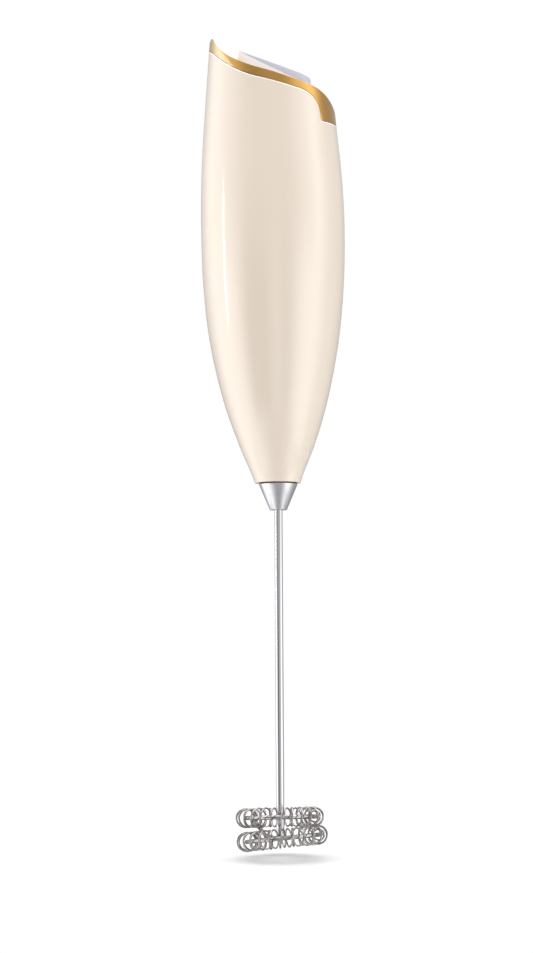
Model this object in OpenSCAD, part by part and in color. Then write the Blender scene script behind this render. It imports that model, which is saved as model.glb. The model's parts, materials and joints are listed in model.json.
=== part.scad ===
// Battery milk frother: slender cream handle, gilt top trim with a push button,
// chrome nose cone, thin steel shaft and a whisk of two coil rings.
// +Z is up along the shaft axis, +X is the front (the side the button slopes to).
// The origin is on the shaft axis, at the seat between the nose cone and the handle.

/* [Handle] */
// Wall thickness of the handle shell
wall = 1.6; // [1.2:0.1:2]
// Gap between the handle rim and the top trim
rim_gap = 0.2; // [0.15:0.05:0.4]
// Facets around the handle
handle_sides = 48; // [32:8:64]

/* [Button] */
// Width of the button, across the handle
button_w = 14; // [10:0.5:15]
// How far the button turns when it is pressed, in degrees
button_turn = 4.5; // [3:0.5:4.5]

/* [Nose] */
// Length of the nose cone below the handle
cone_h = 7; // [5:0.5:9]
// Diameter of the nose cone at the handle
cone_top_d = 10.5; // [9.5:0.1:10.8]
// Diameter of the nose cone at its tip
cone_tip_d = 4.6; // [4.4:0.1:6]

/* [Whisk] */
// Diameter of the whisk shaft
shaft_d = 2.2; // [2:0.1:2.2]
// Length of the shaft below the handle seat
shaft_reach = 95.6; // [80:0.1:110]
// Radius of the upper ring, to the middle of its core wire
upper_ring_r = 9.6; // [9:0.1:11]
// Radius of the lower ring, to the middle of its core wire
lower_ring_r = 10; // [9:0.1:11]
// Radius of the coil section, to the middle of the coil wire
coil_r = 2.45; // [2:0.05:2.6]
// Diameter of the coil wire
coil_wire_d = 0.5; // [0.35:0.01:0.55]
// Diameter of the core wire of each ring
core_wire_d = 1.2; // [1:0.1:1.4]
// Turns of the upper coil
upper_turns = 25; // [20:1:32]
// Turns of the lower coil
lower_turns = 24; // [20:1:32]

/* [Battery] */
// Diameter of one AA cell
cell_d = 14.2; // [13.7:0.1:14.5]
// Length of the AA cell body without its nub
cell_h = 49.2; // [49:0.1:49.5]

/* [Hidden] */
$fn = 48;

// Handle section by height: [z, radius, offset of the section's centre along X]
SECTIONS = [
  [0, 6.05, -0.1], [2.6, 6.95, -0.2], [10.7, 10.25, -0.3], [23, 14.2, -0.6],
  [39, 17.5, -0.85], [55, 19.1, -0.95], [71, 19.45, -1.05], [84, 19.05, -1.3],
  [97, 18.05, -1.6], [124, 15.8, -1.9]
];
shell_bottom = 0.3;
loft_top = 124;
ring_step = 4.5;

// Underside of the top trim inside the handle, and the lower left corner of its front tab
plate_cut = 103.4;
tab_bottom = 97.2;
tab_left = 12.05;

// Flat facet on each side of the raised lip: a point on it, and how it is turned and leans
facet_at = [-17.4, 3.5, 118.3];
facet_turn = 29.5;
facet_lean = 10.3;

// Bench stack inside the handle, from the nose up
ledge_z = 17.5;
ledge_h = 1.5;
cradle_z = ledge_z + ledge_h;
floor_h = 1.5;
motor_z = cradle_z + floor_h;
can_h = 22;
can_r = 10;
can_flat = 7.55;
can_wall = 0.5;
end_cap_h = 2.5;
boss_r = 3;
bush_r = 2.4;
motor_shaft_r = 1;
motor_screw_x = 5;
running = 0.04;
board_z = 46;
board_h = 1;
board_r = 15;
leaf_t = 0.5;

// Battery carrier
carrier_x = -1.5;
carrier_r = 14.7;
base_z = 48.4;
plate_h = 1;
cell_z = 51;
cell_y = 7.35;
nub_h = 1;
nub_r = 2.7;
deck_z = 101.6;
deck_h = 1.4;
contact_t = 0.4;
pad_x = 7;
pad_y = 8.5;
pad_drop = 0.7;

// Button, its pin and the switch below it
pin_x = -8.6;
pin_z = 109.4;
pin_r = 0.75;
button_back = -11;
button_front = 10.5;
slot_clear = 0.35;
switch_x = 5.5;
switch_h = 1.1;
plunger_top = 105.6;
plunger_r = 1.2;
plunger_h = 1.7;
// How far the plunger goes down when the button is turned all the way
plunger_travel = (switch_x - pin_x) * sin(button_turn);
screw_x = -13.1;
screw_y = 4;

// Whisk
upper_ring_z = -89.6;
lower_ring_z = -95.2;
upper_tilt = -1;
lower_tilt = -5.5;
lower_ring_x = 0.9;
coil_steps = 10;
coil_sides = 5;
coupling_z = 7;
coupling_h = 10.5;
shaft_top = 13.5;

// ---- curves and lofts ----

function lerp(a, b, t) = a + (b - a) * t;

// Slope of column k of SECTIONS at row i
function slope(i, k) =
  let (a = max(i - 1, 0), b = min(i + 1, len(SECTIONS) - 1))
  (SECTIONS[b][k] - SECTIONS[a][k]) / (SECTIONS[b][0] - SECTIONS[a][0]);

function row_of(z, i = 0) =
  i >= len(SECTIONS) - 2 || z < SECTIONS[i + 1][0] ? i : row_of(z, i + 1);

// Smooth curve through column k of SECTIONS at height z
function section_at(z, k) =
  let (
    i = row_of(z),
    p = SECTIONS[i],
    q = SECTIONS[i + 1],
    h = q[0] - p[0],
    t = (z - p[0]) / h
  )
  (2 * t ^ 3 - 3 * t ^ 2 + 1) * p[k] + (t ^ 3 - 2 * t ^ 2 + t) * h * slope(i, k)
    + (3 * t ^ 2 - 2 * t ^ 3) * q[k] + (t ^ 3 - t ^ 2) * h * slope(i + 1, k);

// Solid of the handle's outer form between two heights, drawn in by inset
module loft(z0, z1, inset = 0) {
  n = handle_sides;
  rows = max(1, ceil((z1 - z0) / ring_step));
  points = [
    for (j = [0 : rows])
      let (z = lerp(z0, z1, j / rows), r = section_at(z, 1) - inset, c = section_at(z, 2))
        for (i = [0 : n - 1]) [c + r * cos(360 * i / n), r * sin(360 * i / n), z]
  ];
  sides = [
    for (j = [0 : rows - 1], i = [0 : n - 1])
      let (k = (i + 1) % n)
        [j * n + i, (j + 1) * n + i, (j + 1) * n + k, j * n + k]
  ];
  bottom = [for (i = [0 : n - 1]) i];
  top = [for (i = [n - 1 : -1 : 0]) rows * n + i];
  polyhedron(points = points, faces = concat([bottom, top], sides));
}

// Point at t on the cubic curve with control points a, b, c, d
function bezier(a, b, c, d, t) =
  a * (1 - t) ^ 3 + b * 3 * t * (1 - t) ^ 2 + c * 3 * t ^ 2 * (1 - t) + d * t ^ 3;

// Points along that curve, from number first (0 or 1) to number n
function arc(a, b, c, d, n, first = 0) = [for (i = [first : n]) bezier(a, b, c, d, i / n)];

// Side view of the trim's upper face: rounded lip at the back, straight slope, front shoulder
function upper_edge() = concat(
  arc([-18.5, 119.1], [-18.1, 120.6], [-17.4, 121.9], [-16.9, 120.9], 5),
  arc([-16.9, 120.9], [-15, 116.8], [-11.8, 114.2], [-5.9, 111.3], 8, 1),
  arc([8.1, 107], [13, 105.8], [16, 103.2], [17.2, 97], 8)
);

// Side view of the seam between trim and handle shell
function seam_edge() = concat(
  arc([-19.1, 119.6], [-15.9, 114.8], [-12.4, 111.2], [-5.9, 108.9], 8),
  arc([5.5, 105.8], [10, 104.9], [11.75, 102.4], [tab_left, tab_bottom + 0.8], 8),
  [[tab_left + 0.25, tab_bottom + 0.2], [tab_left + 0.8, tab_bottom], [20, tab_bottom]]
);

// Extrudes a side-view outline across the whole handle
module across(half = 25) {
  rotate([90, 0, 0])
    translate([0, 0, -half])
      linear_extrude(2 * half)
        children();
}

// ---- small building blocks ----

module ring(outer, inner, z, h) {
  translate([0, 0, z])
    difference() {
      cylinder(r = outer, h = h);
      translate([0, 0, -1])
        cylinder(r = inner, h = h + 2);
    }
}

module rounded_plan(x0, x1, half_y, r) {
  union() {
    translate([x0 + r, -half_y])
      square([x1 - x0 - 2 * r, 2 * half_y]);
    translate([x0, -half_y + r])
      square([x1 - x0, 2 * half_y - 2 * r]);
    for (x = [x0 + r, x1 - r], y = [-half_y + r, half_y - r])
      translate([x, y])
        circle(r);
  }
}

module can_outline(inset) {
  intersection() {
    circle(can_r - inset);
    square([2 * can_r + 2, 2 * (can_flat - inset)], center = true);
  }
}

module screw(head_r, head_h, shank_r, shank_h) {
  union() {
    cylinder(r = head_r, h = head_h);
    translate([0, 0, head_h])
      cylinder(r = shank_r, h = shank_h);
  }
}

// Flat spiral contact spring as stacked rings joined by a post
module contact_spring(z, h) {
  wire = 0.35;
  union() {
    for (i = [0 : 2])
      translate([0, 0, z + wire + i * (h - 2 * wire) / 2])
        rotate_extrude()
          translate([3.6 - 0.7 * i, 0])
            circle(wire, $fn = 16);
    for (i = [0 : 1])
      translate([3.6 - 0.7 * i - 0.35, 0, z + wire + i * (h - 2 * wire) / 2])
        cylinder(r = 0.42, h = (h - 2 * wire) / 2, $fn = 16);
  }
}

// Coil wound around a ring: the wire circles the core while it travels around the axis
module coil(turns, ring_r) {
  gap = 7;
  count = turns * coil_steps;
  m = coil_sides;
  wire = coil_wire_d / 2;
  grip = core_wire_d / 2 + wire;
  function radius(i) =
    let (e = min(i, count - i) / coil_steps)
    e > 1 ? coil_r : lerp(grip, coil_r, sin(90 * e));
  function place(i) =
    let (
      a = lerp(gap, 360 - gap, i / count),
      b = 360 * i / coil_steps,
      r = radius(i)
    )
    [(ring_r + r * cos(b)) * cos(a), (ring_r + r * cos(b)) * sin(a), r * sin(b)];
  function unit(v) = v / norm(v);
  points = [
    for (i = [0 : count])
      let (
        a = lerp(gap, 360 - gap, i / count),
        p = place(i),
        core = [ring_r * cos(a), ring_r * sin(a), 0],
        u = unit(p - core),
        t = unit(place(min(i + 1, count)) - place(max(i - 1, 0))),
        w = unit(cross(t, u)),
        v = cross(w, t)
      )
        for (k = [0 : m - 1]) p + wire * (v * cos(360 * k / m) + w * sin(360 * k / m))
  ];
  sides = [
    for (i = [0 : count - 1], k = [0 : m - 1], half = [0, 1])
      let (n = (k + 1) % m, a = i * m + k, b = i * m + n, c = a + m, d = b + m)
        half == 0 ? [a, b, d] : [a, d, c]
  ];
  start = [for (k = [m - 1 : -1 : 0]) k];
  end = [for (k = [0 : m - 1]) count * m + k];
  polyhedron(points = points, faces = concat([start, end], sides));
}

// Core wire of a ring, with the arm that joins it to the shaft
module core_ring(ring_r) {
  rotate_extrude()
    translate([ring_r, 0])
      circle(core_wire_d / 2, $fn = 24);
  rotate([0, 90, 0])
    cylinder(r = core_wire_d / 2, h = ring_r, $fn = 24);
}

// ---- handle body ----

module handle_shell() {
  color([0.98, 0.92, 0.84])
    difference() {
      loft(shell_bottom, loft_top);
      loft(6.2, ledge_z, wall);
      loft(cradle_z, loft_top + 1, wall);
      translate([0, 0, ledge_z - 1])
        cylinder(r = 7, h = ledge_h + 2);
      translate([0, 0, -1])
        cylinder(r = 3.52, h = 8);
      translate([-rim_gap / 2, 0, -rim_gap])
        across()
          polygon(concat(seam_edge(), [[20, 140], [-30, 140], [-30, 119.6]]));
    }
}

module nose_gasket() {
  color([0.25, 0.16, 0.12])
    ring(cone_top_d / 2 - 0.1, 3.55, 0, shell_bottom);
}

module nose_cone() {
  color([0.75, 0.75, 0.78])
    difference() {
      union() {
        translate([0, 0, -cone_h])
          cylinder(r1 = cone_tip_d / 2, r2 = cone_top_d / 2, h = cone_h);
        cylinder(r = 3.5, h = 6);
      }
      translate([0, 0, -cone_h - 1])
        cylinder(r = 1.35, h = cone_h + 8);
      translate([0, 0, -5.2])
        cylinder(r = 1.75, h = 12);
      translate([0, 0, 1])
        cylinder(r = bush_r, h = 6);
    }
}

module nose_bush() {
  color([0.72, 0.5, 0.25])
    ring(bush_r - 0.01, shaft_d / 2 + running, 1, 5);
}

module shaft_seal() {
  color([0.12, 0.12, 0.12])
    ring(1.74, shaft_d / 2 + running, -5.2, 2);
}

module motor_cradle() {
  color([0.85, 0.85, 0.83])
    difference() {
      rotate_extrude()
        polygon([
          [boss_r + 0.2, cradle_z], [10.1, cradle_z], [14.2, 40], [14.9, 44], [14.9, board_z],
          [can_r + 0.7, board_z], [can_r + 0.7, motor_z], [boss_r + 0.2, motor_z]
        ]);
      for (x = [-motor_screw_x, motor_screw_x])
        translate([x, 0, cradle_z - 1])
          cylinder(r = 1.05, h = floor_h + 2);
    }
}

module motor_screws() {
  color([0.6, 0.6, 0.62])
    for (x = [-motor_screw_x, motor_screw_x])
      translate([x, 0, cradle_z - 1.2])
        screw(1.7, 1.2, 0.95, 2.6);
}

module damping_sleeve() {
  color([0.2, 0.2, 0.22])
    ring(can_r + 0.65, can_r + 0.03, motor_z + 2, 16);
}

module motor_can() {
  color([0.7, 0.71, 0.73])
    difference() {
      union() {
        translate([0, 0, motor_z])
          linear_extrude(can_h)
            can_outline(0);
        translate([0, 0, motor_z - floor_h])
          cylinder(r = boss_r, h = floor_h + 0.1);
      }
      translate([0, 0, motor_z + 0.9])
        linear_extrude(can_h)
          can_outline(can_wall);
      translate([0, 0, motor_z - floor_h - 1])
        cylinder(r = bush_r, h = floor_h + 3);
      for (x = [-motor_screw_x, motor_screw_x])
        translate([x, 0, motor_z - 1])
          cylinder(r = 1, h = 3);
    }
}

module motor_magnets() {
  color([0.2, 0.2, 0.2])
    for (side = [0, 180])
      rotate([0, 0, side])
        translate([0, 0, motor_z + 4])
          intersection() {
            ring(can_r - can_wall - 0.05, 7.4, 0, 14);
            translate([5.5, -5.5, 0])
              cube([5, 11, 14]);
          }
}

module motor_front_bush() {
  color([0.72, 0.5, 0.25])
    ring(bush_r - 0.01, motor_shaft_r + running, motor_z - floor_h, floor_h + 0.9);
}

module motor_end_cap() {
  color([0.95, 0.95, 0.93])
    difference() {
      translate([0, 0, motor_z + can_h])
        linear_extrude(end_cap_h)
          can_outline(0);
      translate([0, 0, motor_z + can_h - 1])
        cylinder(r = bush_r, h = end_cap_h + 2);
      for (x = [-pad_x, pad_x])
        translate([x - 0.35, -1.1, motor_z + can_h - 1])
          cube([0.7, 2.2, end_cap_h + 2]);
    }
}

module motor_rear_bush() {
  color([0.72, 0.5, 0.25])
    ring(bush_r - 0.01, motor_shaft_r + running, motor_z + can_h, end_cap_h);
}

// Two spring brushes on either side of the commutator
module motor_brushes() {
  color([0.8, 0.55, 0.3])
    for (side = [-1, 1])
      translate([0, side * 2.85, motor_z + can_h - 3.5])
        union() {
          translate([-1, -0.35, 0])
            cube([2, 0.7, 2]);
          translate([-1, -0.35, 2])
            cube([2, 0.4, 1.5]);
        }
}

module motor_terminals() {
  color([0.85, 0.7, 0.35])
    for (x = [-pad_x, pad_x])
      translate([x - 0.3, -1, motor_z + can_h])
        cube([0.6, 2, board_z - motor_z - can_h - 0.1]);
}

module contact_board() {
  color([0.3, 0.45, 0.35])
    difference() {
      translate([0, 0, board_z])
        cylinder(r = board_r - 0.1, h = board_h);
      for (x = [-pad_x, pad_x])
        translate([x - 0.5, -1.2, board_z - 1])
          cube([1, 2.4, board_h + 2]);
    }
}

// Two leaf contacts, each with a tail that bears on a motor terminal
module contact_leaves() {
  color([0.85, 0.7, 0.35])
    for (side = [-1, 1])
      union() {
        translate([side * pad_x - 2.5, side * 6.3 - 5.5, board_z + board_h])
          cube([5, 11, leaf_t]);
        translate([side * pad_x - 0.3, -0.85, board_z])
          cube([0.6, 1.7, board_h + 0.1]);
      }
}

// ---- battery carrier ----

module cell_spot(side) {
  translate([carrier_x, side * cell_y, 0])
    children();
}

module carrier_disc(z, h) {
  translate([carrier_x, 0, z])
    cylinder(r = carrier_r, h = h);
}

// Two round end plates joined by posts that fill the gaps beside the cells
module battery_carrier() {
  color([0.9, 0.9, 0.88])
    difference() {
      union() {
        carrier_disc(base_z, plate_h);
        intersection() {
          carrier_disc(deck_z, deck_h);
          translate([-30, -30, deck_z])
            cube([39, 60, deck_h]);
        }
        translate([0, 0, base_z + 0.5])
          linear_extrude(deck_z - base_z)
            difference() {
              intersection() {
                translate([carrier_x, 0])
                  circle(carrier_r);
                translate([carrier_x - 20, -6.5])
                  square([40, 13]);
                translate([-30, -30])
                  square([39, 60]);
              }
              for (side = [-1, 1])
                translate([carrier_x, side * cell_y])
                  circle(cell_d / 2 + 0.15);
            }
      }
      translate([switch_x, 0, plunger_top - plunger_h - plunger_travel - 0.1])
        cylinder(r = plunger_r + 0.2, h = 4);
      for (side = [-1, 1])
        translate([screw_x, side * screw_y, deck_z - 4])
          cylinder(r = 1.05, h = 10);
      for (side = [-1, 1])
        translate([screw_x, side * screw_y, deck_z - 12])
          cylinder(r = 2.05, h = 8);
      for (side = [-1, 1])
        translate([side * pad_x - 1.6, side * pad_y - 1.6, base_z - 1])
          cube([3.2, 3.2, 2.4]);
    }
}

module cell(flip) {
  translate([0, 0, flip ? 2 * cell_z + cell_h : 0])
    mirror([0, 0, flip ? 1 : 0])
      union() {
        translate([0, 0, cell_z])
          cylinder(r = cell_d / 2, h = cell_h);
        translate([0, 0, cell_z + cell_h - 0.1])
          cylinder(r = nub_r, h = nub_h + 0.1);
      }
}

module battery_left() {
  color([0.25, 0.28, 0.32])
    cell_spot(1)
      cell(false);
}

module battery_right() {
  color([0.25, 0.28, 0.32])
    cell_spot(-1)
      cell(true);
}

// Pad that passes down through the base towards its leaf contact
module contact_pad(side) {
  translate([side * pad_x - 1.5, side * pad_y - 1.5, base_z - pad_drop])
    cube([3, 3, plate_h + pad_drop + 0.1]);
}

// Contact plate at the foot of the right cell, with a pad through the base
module lower_plus_contact() {
  color([0.85, 0.85, 0.87])
    union() {
      cell_spot(-1)
        translate([-7, -2.65, base_z + plate_h])
          cube([11, 3, cell_z - nub_h - base_z - plate_h]);
      contact_pad(-1);
    }
}

// Contact spring at the foot of the left cell, with a pad through the base
module lower_minus_spring() {
  color([0.85, 0.85, 0.87])
    union() {
      cell_spot(1)
        translate([-4, -0.35, base_z + plate_h])
          cube([14, 3, contact_t]);
      cell_spot(1)
        contact_spring(base_z + plate_h + contact_t - 0.05, cell_z - base_z - plate_h - contact_t + 0.04);
      contact_pad(1);
    }
}

module upper_plus_contact() {
  color([0.85, 0.85, 0.87])
    cell_spot(1)
      translate([-4, -4, cell_z + cell_h + nub_h])
        cube([8, 8, deck_z - cell_z - cell_h - nub_h]);
}

module upper_minus_spring() {
  color([0.85, 0.85, 0.87])
    union() {
      cell_spot(-1)
        translate([-4, -4, deck_z - contact_t])
          cube([8, 8, contact_t]);
      cell_spot(-1)
        contact_spring(cell_z + cell_h + 0.01, deck_z - contact_t - cell_z - cell_h + 0.04);
    }
}

// Gilt cap: sloping plate with a raised back lip and a front tab over the shell
module top_trim() {
  color([0.75, 0.56, 0.25])
    difference() {
      union() {
        difference() {
          intersection() {
            loft(90, loft_top);
            across()
              polygon(concat(upper_edge(), [[20, 97], [20, tab_bottom]], reverse(seam_edge())));
          }
          translate([carrier_x, 0, 90])
            cylinder(r = carrier_r + 0.3, h = plate_cut - 90);
        }
        for (side = [-1, 1])
          translate([screw_x, side * screw_y, deck_z + deck_h])
            cylinder(r = 1.9, h = 10.2);
        for (side = [-1, 1])
          translate([pin_x - 1.8, side * 8.4 - 0.9, pin_z - 1.8])
            cube([3.6, 1.8, 4]);
      }
      for (side = [-1, 1])
        translate([screw_x, side * screw_y, deck_z])
          cylinder(r = 0.9, h = 9);
      translate([0, 0, 95])
        linear_extrude(40)
          rounded_plan(button_back - slot_clear - 0.15, button_front + slot_clear, button_w / 2 + slot_clear, 3);
      translate([pin_x, 0, pin_z])
        rotate([90, 0, 0])
          cylinder(r = pin_r, h = 40, center = true);
      for (side = [-1, 1])
        translate([facet_at[0], side * facet_at[1], facet_at[2]])
          rotate([0, facet_lean, 180 - side * facet_turn])
            translate([0, -20, -20])
              cube([10, 40, 40]);
    }
}

function reverse(list) = [for (i = [len(list) - 1 : -1 : 0]) list[i]];

module trim_screws() {
  color([0.6, 0.6, 0.62])
    for (side = [-1, 1])
      translate([screw_x, side * screw_y, deck_z - 5.3])
        screw(1.9, 1.3, 0.89, 9.5);
}

module switch_body() {
  color([0.15, 0.15, 0.16])
    difference() {
      translate([switch_x - 2.4, -3, deck_z + deck_h])
        cube([4.8, 6, switch_h]);
      translate([switch_x, 0, deck_z + deck_h - 1])
        cylinder(r = plunger_r + 0.1, h = 4);
    }
}

module switch_terminals() {
  color([0.85, 0.7, 0.35])
    for (side = [-1, 1])
      translate([switch_x - 1, side * 4 - 1, deck_z + deck_h])
        cube([2, 2, 0.4]);
}

module button_pin() {
  color([0.7, 0.7, 0.72])
    translate([pin_x, 0, pin_z])
      rotate([90, 0, 0])
        cylinder(r = pin_r - 0.005, h = 18.4, center = true);
}

// Push button: hinged at the back on its pin, pressed at the front, bevelled along each side
module switch_button() {
  color([0.86, 0.86, 0.92])
    difference() {
      intersection() {
        across(button_w / 2)
          polygon([
            [button_back, 109.6], [pin_x - 1.6, 107.7], [pin_x + 1.6, 107.7], [pin_x + 2.4, 110],
            [3.6, 106.3], [button_front - 0.3, 105.7], [button_front, 107],
            [button_front - 0.4, 109.6], [button_front - 1.4, 110.4], [button_back + 1.5, 116.9],
            [button_back + 0.6, 116.6], [button_back, 115.2]
          ]);
        translate([0, 0, 95])
          linear_extrude(40)
            rounded_plan(button_back, button_front, button_w / 2, 2.8);
      }
      translate([pin_x, 0, pin_z])
        rotate([90, 0, 0])
          cylinder(r = pin_r + running, h = 40, center = true);
      for (side = [-1, 1])
        translate([0, side * button_w / 2, 116])
          rotate([side * 14, 27, side * 2])
            translate([-14, -3, 0.4])
              cube([30, 6, 6]);
    }
}

module switch_plunger() {
  color([0.9, 0.9, 0.9])
    translate([switch_x, 0, plunger_top - plunger_h])
      cylinder(r = plunger_r, h = plunger_h);
}

// ---- rotor and whisk ----

module motor_shaft() {
  color([0.75, 0.75, 0.78])
    translate([0, 0, shaft_top + 0.2])
      cylinder(r = motor_shaft_r, h = motor_z + can_h + end_cap_h - shaft_top - 0.4);
}

// Laminated core with three poles
module armature_core() {
  color([0.45, 0.45, 0.48])
    translate([0, 0, motor_z + 5])
      difference() {
        linear_extrude(11)
          union() {
            circle(2.4);
            for (a = [0, 120, 240])
              rotate(a)
                union() {
                  translate([0, -0.8])
                    square([5.6, 1.6]);
                  intersection() {
                    difference() {
                      circle(6.6);
                      circle(5.5);
                    }
                    translate([3, -4])
                      square([4, 8]);
                  }
                }
          }
        translate([0, 0, -1])
          cylinder(r = motor_shaft_r, h = 20);
      }
}

module armature_windings() {
  color([0.72, 0.35, 0.15])
    for (a = [0, 120, 240])
      rotate([0, 0, a])
        translate([2.6, 0, motor_z + 4])
          difference() {
            translate([0, -1.7, 0])
              cube([2.6, 3.4, 13]);
            translate([-1, -0.82, 0.98])
              cube([5, 1.64, 11.04]);
          }
}

module commutator() {
  color([0.8, 0.5, 0.25])
    ring(2.2, motor_shaft_r, motor_z + 17.6, 3.6);
}

module shaft_coupling() {
  color([0.92, 0.92, 0.9])
    difference() {
      translate([0, 0, coupling_z])
        cylinder(r = 2.8, h = coupling_h);
      translate([0, 0, coupling_z - 1])
        cylinder(r = shaft_d / 2, h = shaft_top - coupling_z + 1.1);
      translate([0, 0, coupling_z + 1])
        cylinder(r = motor_shaft_r, h = coupling_h);
    }
}

module whisk_shaft() {
  color([0.8, 0.8, 0.82])
    translate([0, 0, -shaft_reach])
      cylinder(r = shaft_d / 2, h = shaft_reach + shaft_top);
}

module at_upper_ring() {
  translate([0.2, 0, upper_ring_z])
    rotate([0, upper_tilt, 0])
      children();
}

module at_lower_ring() {
  translate([lower_ring_x, 0, lower_ring_z])
    rotate([0, lower_tilt, 0])
      children();
}

module upper_ring_wire() {
  color([0.75, 0.75, 0.78])
    difference() {
      at_upper_ring()
        core_ring(upper_ring_r);
      translate([0, 0, upper_ring_z - 3])
        cylinder(r = shaft_d / 2, h = 6);
    }
}

module lower_ring_wire() {
  color([0.75, 0.75, 0.78])
    difference() {
      at_lower_ring()
        core_ring(lower_ring_r);
      translate([0, 0, lower_ring_z - 3])
        cylinder(r = shaft_d / 2, h = 6);
    }
}

module upper_coil() {
  color([0.7, 0.7, 0.72])
    at_upper_ring()
      coil(upper_turns, upper_ring_r);
}

module lower_coil() {
  color([0.7, 0.7, 0.72])
    at_lower_ring()
      coil(lower_turns, lower_ring_r);
}

handle_shell();
nose_gasket();
nose_cone();
nose_bush();
shaft_seal();
motor_cradle();
motor_screws();
damping_sleeve();
motor_can();
motor_magnets();
motor_front_bush();
motor_end_cap();
motor_rear_bush();
motor_brushes();
motor_terminals();
contact_board();
contact_leaves();
battery_carrier();
battery_left();
battery_right();
lower_plus_contact();
lower_minus_spring();
upper_plus_contact();
upper_minus_spring();
top_trim();
trim_screws();
switch_body();
switch_terminals();
button_pin();
switch_button();
switch_plunger();
motor_shaft();
armature_core();
armature_windings();
commutator();
shaft_coupling();
whisk_shaft();
upper_ring_wire();
lower_ring_wire();
upper_coil();
lower_coil();
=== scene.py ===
"""Looks of the milk frother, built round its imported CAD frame.

Lengths in the shape sections are millimetres in the row frame and become metres in add_piece().
Lengths in the stage section are metres. +Z is up along the shaft, +X is the front (the button slopes
down to it), -X is the back lip.
"""
import json
import math

import bmesh
import bpy
import numpy as np
from mathutils import Matrix, Vector


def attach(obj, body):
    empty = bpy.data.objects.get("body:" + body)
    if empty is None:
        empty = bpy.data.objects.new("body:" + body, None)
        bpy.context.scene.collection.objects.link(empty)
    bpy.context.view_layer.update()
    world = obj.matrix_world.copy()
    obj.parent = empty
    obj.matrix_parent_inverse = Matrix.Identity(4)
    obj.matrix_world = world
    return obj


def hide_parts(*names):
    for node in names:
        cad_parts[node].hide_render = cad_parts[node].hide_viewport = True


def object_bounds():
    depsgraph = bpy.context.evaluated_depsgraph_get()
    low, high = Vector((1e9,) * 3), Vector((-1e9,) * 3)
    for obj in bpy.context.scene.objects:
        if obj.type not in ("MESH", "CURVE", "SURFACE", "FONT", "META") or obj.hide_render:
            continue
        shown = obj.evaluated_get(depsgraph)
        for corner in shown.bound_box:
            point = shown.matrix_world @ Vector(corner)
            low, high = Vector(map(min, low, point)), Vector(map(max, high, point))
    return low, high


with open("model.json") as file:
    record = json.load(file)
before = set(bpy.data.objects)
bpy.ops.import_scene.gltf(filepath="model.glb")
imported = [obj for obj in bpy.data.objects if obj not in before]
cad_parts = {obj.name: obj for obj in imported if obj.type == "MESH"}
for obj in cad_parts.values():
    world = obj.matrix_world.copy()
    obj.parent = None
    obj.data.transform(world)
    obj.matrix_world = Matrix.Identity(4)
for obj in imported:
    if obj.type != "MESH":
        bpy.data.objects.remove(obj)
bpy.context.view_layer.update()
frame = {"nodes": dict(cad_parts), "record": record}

MM = 0.001
ON_AXIS = 0.001  # radius in millimetres that stands for zero, so that a turned outline stays closed


# ---------------------------------------------------------------- mesh helpers

def in_scene(name, data):
    """A new object in the scene with this mesh, light or camera."""
    obj = bpy.data.objects.new(name, data)
    bpy.context.scene.collection.objects.link(obj)
    return obj


def add_piece(name, shape, body, materials, nodes):
    """One closed mesh from its points and faces, riding on a CAD body in place of CAD nodes."""
    verts, faces = shape
    mesh = bpy.data.meshes.new(name)
    mesh.from_pydata([tuple(v) for v in np.asarray(verts, float) * MM], [], faces)
    mesh.validate()
    obj = in_scene(name, mesh)
    for m in materials:
        mesh.materials.append(m)
    mesh.polygons.foreach_set("use_smooth", [True] * len(mesh.polygons))
    turn_outwards(mesh)
    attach(obj, body)
    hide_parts(*nodes)
    return obj


def turn_outwards(mesh):
    """Turns every face of a closed mesh to point outwards."""
    bm = bmesh.new()
    bm.from_mesh(mesh)
    bmesh.ops.recalc_face_normals(bm, faces=bm.faces)
    bm.to_mesh(mesh)
    bm.free()


def bands(loops):
    """Points and quads joining closed loops of equal length, from first to last."""
    n = len(loops[0])
    verts = np.concatenate(loops)
    faces = []
    for j in range(len(loops) - 1):
        for i in range(n):
            k = (i + 1) % n
            faces.append((j * n + i, j * n + k, (j + 1) * n + k, (j + 1) * n + i))
    return verts, faces


def wrap(loops):
    """As bands(), with the last loop joined back to the first, for a closed tube of loops."""
    n = len(loops[0])
    verts, faces = bands(loops)
    last = (len(loops) - 1) * n
    for i in range(n):
        k = (i + 1) % n
        faces.append((last + i, last + k, k, i))
    return verts, faces


def capped(loops):
    """As bands(), with one face across the first loop and one across the last."""
    n = len(loops[0])
    verts, faces = bands(loops)
    last = (len(loops) - 1) * n
    faces.append(tuple(range(n - 1, -1, -1)))
    faces.append(tuple(range(last, last + n)))
    return verts, faces


def loop_at(k, n):
    """Vertex indices of the k-th loop in a mesh made of loops of n points."""
    return list(range(k * n, (k + 1) * n))


def mix(a, b, t):
    return a + (b - a) * t


def line(a, b, x):
    """Height at x on the line through the points a and b."""
    return a[1] + (b[1] - a[1]) * (x - a[0]) / (b[0] - a[0])


def smoothstep(t):
    t = np.clip(t, 0, 1)
    return t * t * (3 - 2 * t)


def distance_along(points):
    """Distance of each point of a polyline from its first point, measured along it."""
    steps = np.linalg.norm(np.diff(points, axis=0), axis=1)
    return np.concatenate([[0], np.cumsum(steps)])


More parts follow.
